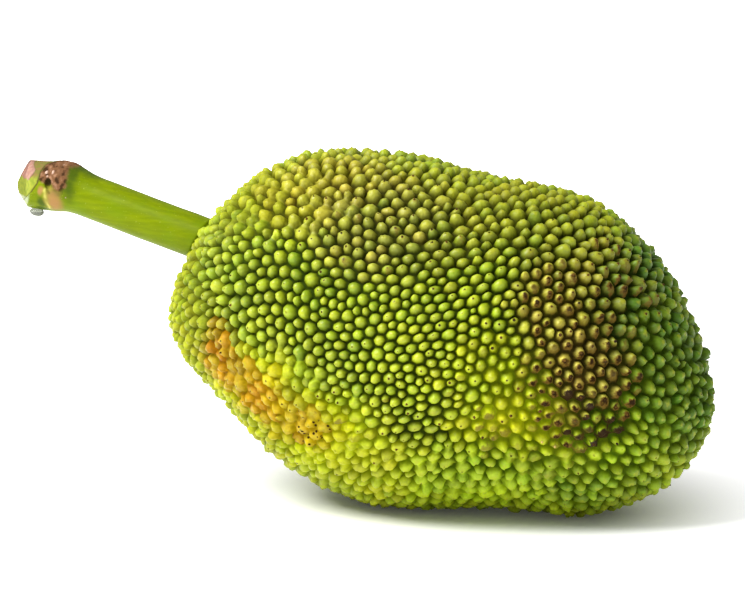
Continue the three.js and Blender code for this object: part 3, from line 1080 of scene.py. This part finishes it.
@dataclass(frozen=True)
class StalkFinish:
    """The stalk's green skin, its bark and its cut end.

    Attributes:
        green: The two greens of the skin's fibres.
        blotch: The colour of its large blotches.
        speck: The colour of its fine specks.
        painted_shade: The dark green shade that is painted round the knuckle.
        tan: The colour of healed skin.
        bark: The bark's colours in its hollows, on most of it and on its ridges.
        cut: The two colours of the cut's wood.
        strip: The two colours of the brown strip along its top.
        pink: The two colours of the peeled facet.
        ridge: The colour of the pale ridge below the pit.
        lenticel: The colour of the pale pores.
        seam: The colour of the cracks and edges.
        dark: The colour of the pit and of the crack below it; in the pit it is painted shade in the hollow.
        slope: How far the fibres slope down towards the fruit, in radians.
        end: From where to where along X shade is painted on the cut's end, in metres.
        roughness: How rough the green skin and the bark and wood are.
        wet: How rough the wet edge is.
    """

    green: tuple[Colour, Colour] = (shade(100, 116, 0), shade(112, 127, 0))
    blotch: Colour = shade(98, 124, 2)
    speck: Colour = shade(160, 168, 70)
    painted_shade: Colour = shade(52, 72, 12)
    tan: Colour = shade(154, 116, 68)
    bark: tuple[Colour, Colour, Colour] = (shade(58, 38, 20), shade(110, 76, 50), shade(140, 104, 78))
    cut: tuple[Colour, Colour] = (shade(144, 150, 52), shade(122, 134, 44))
    strip: tuple[Colour, Colour] = (shade(128, 98, 62), shade(112, 108, 50))
    pink: tuple[Colour, Colour] = (shade(146, 106, 92), shade(168, 132, 116))
    ridge: Colour = shade(190, 182, 92)
    lenticel: Colour = shade(190, 158, 140)
    seam: Colour = shade(58, 44, 24)
    dark: Colour = shade(52, 42, 18)
    slope: float = math.radians(17)
    end: Range = (-222 * MM, -226 * MM)
    roughness: Range = (0.4, 0.85)
    wet: float = 0.08

    def build(self) -> bpy.types.Material:
        """Builds the material.

        Returns:
            The stalk's material.
        """
        material, graph, skin = new_material("stalk_skin")
        place = graph.place()
        masks = {mask: graph.attribute(mask) for mask in StalkMask}
        stretch = {"Vector": place, "Rotation": (0, -self.slope, 0), "Scale": (0.12, 1, 1)}
        fibres = graph.noise(420, 3, graph.add("ShaderNodeMapping", stretch).outputs[0])
        cork, grain = graph.noise(240, 4, place), graph.noise(320, 2, place)
        blotches = graph.times(graph.ease(graph.noise(60, 2, place), 0.4, 0.7), 0.45)
        specks = graph.times(graph.ease(graph.noise(900, 1, place), 0.7, 0.78), 0.5)
        colour = graph.tint(graph.ease(fibres, 0.35, 0.7), *self.green)
        colour = graph.tint(blotches, colour, self.blotch)
        colour = graph.tint(specks, colour, self.speck)

        hollow, middle, high = self.bark
        bark = graph.tint(graph.ease(cork, 0.36, 0.52), hollow, middle)
        bark = graph.tint(graph.ease(cork, 0.54, 0.68), bark, high)
        grained = graph.ease(grain, 0.35, 0.7)
        cut = graph.tint(grained, *self.cut)
        cut = graph.tint(masks[StalkMask.STRIP], cut, graph.tint(graph.ease(grain, 0.3, 0.6), *self.strip))
        cut = graph.tint(masks[StalkMask.PINK], cut, graph.tint(grained, *self.pink))
        coats = {
            # Painted shade round the knuckle.
            StalkMask.PAINTED_SHADE: self.painted_shade,
            StalkMask.TAN: self.tan,
            StalkMask.BARK: bark,
            StalkMask.CUT: cut,
            StalkMask.RIDGE: self.ridge,
            StalkMask.LENTICEL: self.lenticel,
            StalkMask.SEAM: self.seam,
            # The pit's dark colour is painted shade in its hollow.
            StalkMask.PIT: self.dark,
        }
        for mask, coat in coats.items():
            colour = graph.tint(masks[mask], colour, coat)
        # Shade is painted on the cut's far end, whose facets face the light.
        end = graph.ease(graph.add("ShaderNodeSeparateXYZ", {0: place}).outputs[0], *self.end)
        darker = graph.tint(1.0, colour, colour, "MULTIPLY")
        colour = graph.tint(graph.times(graph.times(end, masks[StalkMask.CUT]), 0.5), colour, darker)
        woody = graph.most(masks[StalkMask.BARK], masks[StalkMask.CUT])
        looks = {
            "Base Color": colour,
            "Roughness": graph.blend(masks[StalkMask.WET], graph.blend(woody, *self.roughness), self.wet),
            "Specular IOR Level": 0.06,
            "Subsurface Weight": 0.05,
            "Subsurface Radius": (1.0, 0.8, 0.2),
            "Subsurface Scale": 2.0 * MM,
            "Normal": graph.bumps(graph.blend(masks[StalkMask.BARK], fibres, cork), 0.3, 0.25 * MM),
        }
        graph.fill(skin, looks)
        return material


@dataclass
class Stalk:
    """The cut stalk, from its root in the rind to its trimmed woody knuckle.

    Attributes:
        root: Where its centre line meets the fruit, in metres.
        heading: The way that its centre line runs, out of the fruit.
        plug_radius: The radius of the part that is grown into the fruit, in metres.
        plug_length: How long that part is, in metres.
        plug_taper: The radius of its far end as a share of the other's.
        voxel: The size of the mesh's faces, in metres.
        calm: How often the mesh is smoothed.
        seed: The seed of all that is random.
        finish: What the stalk looks like.
        bark_patches: Where the knuckle is covered with bark.
        tan_patches: Where its skin has healed.
        painted_shade_patches: Where dark green shade is painted round the knuckle and along the top.
        lenticels: Its pale, raised pores.
        pit: The hollow that a bud has left.
        groove: The crack that runs down from the pit.
        ridge: The pale ridge beside that crack.
        creases: Fine cracks in the bark.
        seam: Where the skin ends and the cut begins.
        rim: The far edge of the cut.
        facet_edge: Where the peeled facet begins.
        edge_width: The half widths of the seam and the facet's edge, in millimetres.
        seam_top: Over which heights the seam fades out at the top, in millimetres.
        facet_bottom: Over which heights the peeled facet begins, in millimetres.
        strip_bottom: Over which heights the brown strip along the cut's top begins.
        wet_top: Over which heights the wet edge begins, downwards, in millimetres.
        wet_side: Over which places along X it begins, towards the cut's end, in millimetres.
        bends: How many bends the edges of the patches make in a metre.
        wander: How far those edges wander, in millimetres.
        cork_grain: How many of the bark's ridges there are in a metre along X, Y and Z.
        bark_relief: How far flat bark stands out, and how much its ridges do, in millimetres.
        reliefs: How far each other kind of place stands out, in millimetres.
        waves: How far the whole skin goes in and out, in millimetres.
        wave_bends: How many times it does so in a metre.
    """

    root: Point = (-109 * MM, 0.0, 166 * MM)
    heading: Point = (-0.956, 0.0, 0.294)
    plug_radius: float = 14.1 * MM
    plug_length: float = 34 * MM
    plug_taper: float = 0.9
    voxel: float = 0.65 * MM
    calm: int = 5
    seed: int = 11
    finish: StalkFinish = field(default_factory=StalkFinish)

    bark_patches: tuple[Patch, ...] = (
        Patch((-201, -12.5, 206.5), (9.5, 14, 9.5), 0.3),
        Patch((-196.8, -14, 199.2), (5.6, 8, 6.6), 0.5),
        Patch((-206.5, -14, 202.5), (5.5, 6, 5), 0.3),
        Patch((-197.5, 4, 206), (10, 14, 12), 0.4),
        Patch((-199, 12, 194), (9, 10, 12), 0.5),
    )
    tan_patches: tuple[Patch, ...] = (
        Patch((-201.2, -13, 186), (5.2, 7, 9), 1.4),
        Patch((-209.4, -16, 193.0), (1.7, 4, 2.6), 1.5),
        Patch((-200, 14, 184), (8, 6, 9), 0.8),
    )
    # Where dark green shade is painted round the knuckle and along the stalk's top.
    painted_shade_patches: tuple[Patch, ...] = (
        Patch((-189.5, -9, 204), (5, 9, 8), 1.0),
        Patch((-186, 0, 208), (12, 9, 4), 1.0),
        Patch((-190, -14, 196), (4.2, 9, 8), 1.6),
        Patch((-175, 0, 206), (10, 10, 5), 1.3),
        Patch((-210.4, -14, 185), (2.8, 5, 4.6), 1.0),
        Patch((-212, -8, 180.2), (5, 6, 2.0), 0.9),
        Patch((-199, -16.4, 191), (3.4, 4, 2.2), 1.0),
        Patch((-213.5, -14.5, 200), (2.2, 4, 3.5), 1.0),
        Patch((-190, 10, 200), (7, 9, 12), 0.9),
    )
    lenticels: tuple[Patch, ...] = (
        Patch((-206.2, -13.1, 204.7), (1.0, 2.5, 1.0), 0.6),
        Patch((-201.6, -13.1, 205.0), (0.7, 2.5, 1.2), 0.6),
        Patch((-205.0, -14.2, 202.4), (0.6, 2.5, 0.6), 0.6),
        Patch((-196.5, -8.5, 209.5), (0.5, 2.5, 0.5), 0.6),
        Patch((-191.9, -15.1, 189.0), (0.35, 2, 0.3), 0.6),
        Patch((-200.0, 9.5, 208.0), (0.9, 2.5, 0.9), 0.6),
    )
    pit: Patch = Patch((-204.6, -15.0, 198.6), (2.0, 4.5, 2.6), 0.9)
    groove: Crack = Crack(((-206.0, -15.6, 198.0), (-205.2, -15.6, 195.2), (-203.2, -16.6, 191.7)), 0.85)
    ridge: Crack = Crack(((-206.6, -16.4, 193.8), (-206.4, -14.0, 187.5), (-205.6, -10.2, 181.0)), 1.0)
    creases: tuple[Crack, ...] = (
        Crack(((-194.6, -15.2, 198.0), (-194.3, -16.1, 194.0), (-194.9, -14.7, 188.0)), 0.4),
        Crack(((-197.5, -13.8, 206.0), (-197.0, -15.6, 200.0)), 0.4),
    )
    seam: Border = Border(
        (181.0, 185.5, 191.8, 197.6, 201.7, 205.4, 208.7, 210.8),
        (-231.0, -226.8, -216.3, -211.9, -211.0, -210.7, -209.6, -208.0),
    )
    rim: Crack = Crack(
        (
            (-218.6, -2.1, 210.6),
            (-222.3, -1.9, 210.8),
            (-227.9, 5.5, 208.1),
            (-234.7, 11.7, 201.1),
            (-236.6, 12.5, 198.3),
        ),
        0.7,
    )
    facet_edge: Border = Border(
        (198.6, 199.5, 203.4, 206.2, 209.2, 211.0), (-222.0, -219.0, -215.5, -214.9, -217.9, -219.4)
    )
    edge_width: Range = (0.5, 0.35)
    seam_top: Range = (212.0, 209.0)
    facet_bottom: Range = (198.4, 199.6)
    strip_bottom: Range = (200.0, 204.0)
    wet_top: Range = (188.5, 186.0)
    wet_side: Range = (-216.0, -219.0)
    bends: float = 260.0
    wander: float = 1.1
    cork_grain: Point = (420.0, 210.0, 210.0)
    bark_relief: Range = (0.15, 0.28)
    reliefs: tuple[tuple[StalkMask, float], ...] = (
        (StalkMask.LENTICEL, 0.45),
        (StalkMask.RIDGE, 0.5),
        (StalkMask.PIT, -0.9),
        (StalkMask.SEAM, -0.3),
    )
    waves: float = 0.22
    wave_bends: float = 70.0

    def rough_form(self) -> bpy.types.Mesh:
        """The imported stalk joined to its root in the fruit, as one fine even mesh.

        Returns:
            The mesh.
        """
        form = bmesh.new()
        form.from_mesh(merged_copy("stalk"))
        heading = Vector(self.heading).normalized()
        turn = heading.to_track_quat("Z", "Y").to_matrix().to_4x4()
        place = Matrix.Translation(Vector(self.root) + heading * 2 * MM) @ turn
        bmesh.ops.create_cone(
            form,
            cap_ends=True,
            segments=64,
            radius1=self.plug_radius * self.plug_taper,
            radius2=self.plug_radius,
            depth=self.plug_length,
            matrix=place,
        )
        mesh = bpy.data.meshes.new("stalk_form")
        form.to_mesh(mesh)
        form.free()
        piece = add_object("stalk_form", mesh)
        remesh = piece.modifiers.new("remesh", "REMESH")
        remesh.mode, remesh.voxel_size = "VOXEL", self.voxel
        evaluated = piece.evaluated_get(bpy.context.evaluated_depsgraph_get())
        even = bpy.data.meshes.new_from_object(evaluated)
        bpy.data.objects.remove(piece)
        surface = bmesh.new()
        surface.from_mesh(even)
        for _ in range(self.calm):
            bmesh.ops.smooth_vert(
                surface, verts=surface.verts, factor=0.5, use_axis_x=True, use_axis_y=True, use_axis_z=True
            )
        surface.to_mesh(even)
        surface.free()
        return even

    def masks(self, places: np.ndarray) -> dict[StalkMask, np.ndarray]:
        """Where each place on the stalk belongs.

        Args:
            places: The places, in metres.

        Returns:
            How much of each mask is at each place, from 0 to 1.
        """
        moved = places + wander(places, self.bends, self.seed) * self.wander * MM
        along, height = places[:, 0] / MM, places[:, 2] / MM
        moved_height = moved[:, 2] / MM
        seam_width, edge_width = self.edge_width
        cut = self.seam.beyond(places, 0.5)
        pink = self.facet_edge.beyond(places) * smooth_step(*self.facet_bottom, moved_height)
        outline = self.facet_edge.near(places, edge_width) * smooth_step(198.6, 200.0, height) * 0.7
        lines = np.maximum(self.seam.near(places, seam_width) * smooth_step(*self.seam_top, height), outline)
        lines = np.maximum(lines, 0.8 * self.rim.cover(places))
        return {
            StalkMask.BARK: cover_of(self.bark_patches, moved) * (1 - cut),
            StalkMask.CUT: cut,
            StalkMask.PINK: pink,
            StalkMask.STRIP: smooth_step(*self.strip_bottom, moved_height) * (1 - pink),
            StalkMask.LENTICEL: cover_of(self.lenticels, places),
            StalkMask.PIT: np.maximum(self.pit.cover(places), 0.6 * self.groove.cover(places)),
            StalkMask.RIDGE: self.ridge.cover(moved) * 0.85,
            StalkMask.SEAM: np.maximum(lines, 0.6 * cover_of(self.creases, moved)),
            StalkMask.TAN: cover_of(self.tan_patches, moved),
            StalkMask.WET: smooth_step(*self.wet_top, height) * smooth_step(*self.wet_side, along),
            # Painted shade round the knuckle.
            StalkMask.PAINTED_SHADE: cover_of(self.painted_shade_patches, moved) * 0.8,
        }

    def build(self) -> bpy.types.Object:
        """Carves the stalk and dresses it.

        Returns:
            The stalk.
        """
        mesh = self.rough_form()
        places = read_rows(mesh.vertices, "co", 3)
        normals = read_rows(mesh.vertex_normals, "vector", 3)
        masks = self.masks(places)
        bark = masks[StalkMask.BARK] * (1 - masks[StalkMask.CUT])
        fine = places * np.array(self.cork_grain)
        cork = np.array([noise.ridged_multi_fractal(Vector(row), 0.9, 2.1, 3, 1.0, 2.0) for row in fine])
        flat, ridges = self.bark_relief
        lift = bark * (flat + ridges * (cork - 1.1)) * MM
        for mask, height in self.reliefs:
            lift += masks[mask] * height * MM
        waves = np.array([noise.noise(Vector(place * self.wave_bends)) for place in places])
        lift += waves * self.waves * MM
        places = places + normals * lift[:, None]
        mesh.vertices.foreach_set("co", places.ravel())
        for mask, values in masks.items():
            carry(mesh, mask, values)
        mesh.polygons.foreach_set("use_smooth", [True] * len(mesh.polygons))
        mesh.materials.clear()
        mesh.materials.append(self.finish.build())
        mesh.update()
        piece = add_object("cut_stalk", mesh)
        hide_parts("stalk")
        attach(piece, BODY)
        return piece


# ---- The sap ----


@dataclass
class SapDrop:
    """The drop of clear sap under the knuckle.

    Attributes:
        fineness: How often the drop's mesh is subdivided.
        sag: How much narrower its top is than its middle.
        stretch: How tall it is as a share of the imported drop's height.
        flatness: How far that height is pressed down again.
        raised: How far its middle is raised, as a share of its half height.
        lean: How far its upper and its lower half lean.
        colour: The colour of the sap.
    """

    fineness: int = 4
    sag: float = 0.22
    stretch: float = 1.15
    flatness: float = 0.86
    raised: float = 0.1
    lean: Range = (0.1, 0.18)
    colour: Colour = shade(150, 154, 138)

    def dress(self) -> bpy.types.Material:
        """Builds the wet, clear material.

        Returns:
            The sap's material.
        """
        material, graph, skin = new_material("sap_clear")
        looks = {"Base Color": self.colour, "Roughness": 0.04, "Transmission Weight": 0.75, "IOR": 1.45}
        graph.fill(skin, looks)
        return material

    def build(self) -> bpy.types.Object:
        """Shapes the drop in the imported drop's box and dresses it.

        Returns:
            The drop.
        """
        low, high = (Vector(corner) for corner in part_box("sap_drop"))
        middle, half = (low + high) / 2, (high - low) / 2
        half.z *= self.stretch
        middle.z += half.z * self.raised
        drop = bmesh.new()
        bmesh.ops.create_icosphere(drop, subdivisions=self.fineness, radius=1)
        for vertex in drop.verts:
            x, y, z = vertex.co
            width = 1 - self.sag * max(z, 0) ** 2
            height = (z - self.lean[z < 0] * x) * half.z * self.flatness
            vertex.co = middle + Vector((x * half.x * width, y * half.y * width, height))
        mesh = bpy.data.meshes.new("sap_bead")
        drop.to_mesh(mesh)
        drop.free()
        mesh.polygons.foreach_set("use_smooth", [True] * len(mesh.polygons))
        mesh.materials.append(self.dress())
        piece = add_object("sap_bead", mesh)
        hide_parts("sap_drop")
        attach(piece, BODY)
        return piece


# ---- The studio ----


@dataclass
class Studio:
    """The pale floor, which glows and carries a painted contact shadow, the soft light and the camera.

    Attributes:
        middle: The middle of the fruit's axis, in metres.
        azimuth: Where the camera stands, in degrees.
        elevation: How high it looks from, in degrees.
        distance: How far it stands from the middle, in metres.
        aim: How far right of and above the middle it looks, in metres.
        lens: Its focal length in millimetres.
        sensor: The width of its sensor in millimetres.
        key_offset: Where the large soft light hangs, from the middle, in metres.
        key_size: How wide that light is, in metres.
        key_power: Its power in watts.
        surround: How bright the white surround is.
        shadow_middle: The middle of the painted contact shadow, near where the fruit touches the floor, in
            metres.
        shadow_glow: How much the floor glows in that painted shadow and farther away.
        shadow_edge: From which to which distance from its middle the painted shadow fades out, in metres.
        far_edge: From which to which distance the floor's glow brightens it to white, in metres.
    """

    middle: Point = (62.02 * MM, 0.0, 100.9 * MM)
    azimuth: float = 18.0
    elevation: float = 9.5
    distance: float = 2.4
    aim: Range = (-44.3 * MM, 30.4 * MM)
    lens: float = 181.2
    sensor: float = 36.0
    key_offset: Point = (-1.2, -1.25, 1.95)
    key_size: float = 1.3
    key_power: float = 108.0
    surround: float = 0.48
    shadow_middle: Point = (0.05, 0.0, 0.0)
    shadow_glow: Range = (0.03, 0.64)
    shadow_edge: Range = (0.12, 0.24)
    far_edge: Range = (0.5, 1.8)

    def place_camera(self) -> None:
        """Adds the camera and makes it the scene's."""
        azimuth, elevation = math.radians(self.azimuth), math.radians(self.elevation)
        level = math.cos(elevation)
        back = Vector((math.sin(azimuth) * level, -math.cos(azimuth) * level, math.sin(elevation)))
        right = Vector((math.cos(azimuth), math.sin(azimuth), 0))
        upward = back.cross(right)
        middle = Vector(self.middle)
        camera = bpy.data.objects.new("camera", bpy.data.cameras.new("camera"))
        camera.location = middle + back * self.distance
        target = middle + right * self.aim[0] + upward * self.aim[1]
        camera.rotation_euler = (target - camera.location).to_track_quat("-Z", "Y").to_euler()
        camera.data.lens = self.lens
        camera.data.sensor_width = self.sensor
        camera.data.clip_end = 50
        bpy.context.scene.collection.objects.link(camera)
        bpy.context.scene.camera = camera

    def lay_floor(self) -> None:
        """Adds the pale floor, which glows: its glow is dimmed round the fruit to paint the contact shadow.
        """
        bpy.ops.mesh.primitive_plane_add(size=40)
        floor = bpy.context.active_object
        floor.name = "floor"
        material, graph, skin = new_material("floor_glow_and_painted_shadow")
        # The floor glows, painted light that also lights the fruit from below. Its glow is dimmed round the
        # shadow's middle to paint the contact shadow, and rises to white far off.
        away = graph.length(graph.vector_math("SUBTRACT", graph.place(), self.shadow_middle))
        glow = graph.blend(graph.ease(away, *self.shadow_edge), *self.shadow_glow)
        looks = {
            "Base Color": (0.95, 0.95, 0.95, 1),
            "Emission Color": (1, 1, 1, 1),
            "Emission Strength": graph.math("ADD", glow, graph.ease(away, *self.far_edge)),
            "Roughness": 0.9,
            "Specular IOR Level": 0.1,
        }
        graph.fill(skin, looks)
        floor.data.materials.append(material)

    def hang_light(self) -> None:
        """Adds a bright surround and one large soft light at the upper left."""
        world = bpy.data.worlds.new("studio")
        world.use_nodes = True
        white = {"Color": (1, 1, 1, 1), "Strength": self.surround}
        Graph(world.node_tree).fill(world.node_tree.nodes["Background"], white)
        bpy.context.scene.world = world
        light = bpy.data.lights.new("key", "AREA")
        light.energy = self.key_power
        light.size = self.key_size
        lamp = bpy.data.objects.new("key", light)
        offset = Vector(self.key_offset)
        lamp.location = Vector(self.middle) + offset
        lamp.rotation_euler = (-offset).to_track_quat("-Z", "Y").to_euler()
        bpy.context.scene.collection.objects.link(lamp)

    def build(self) -> None:
        """Sets up the studio."""
        self.place_camera()
        self.lay_floor()
        self.hang_light()
        bpy.context.scene.view_settings.view_transform = "Standard"
        bpy.context.scene.view_settings.look = "None"


def main() -> None:
    """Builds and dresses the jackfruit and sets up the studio."""
    logging.basicConfig(level=logging.INFO, format="%(name)s: %(message)s")
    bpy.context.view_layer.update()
    Studio().build()
    rind = Rind()
    for maker in (rind, StigmaTips(rind), Stalk(), SapDrop()):
        piece = maker.build()
        LOG.info("%s: %d faces", piece.name, len(piece.data.polygons))


if __name__ == "__main__":
    main()
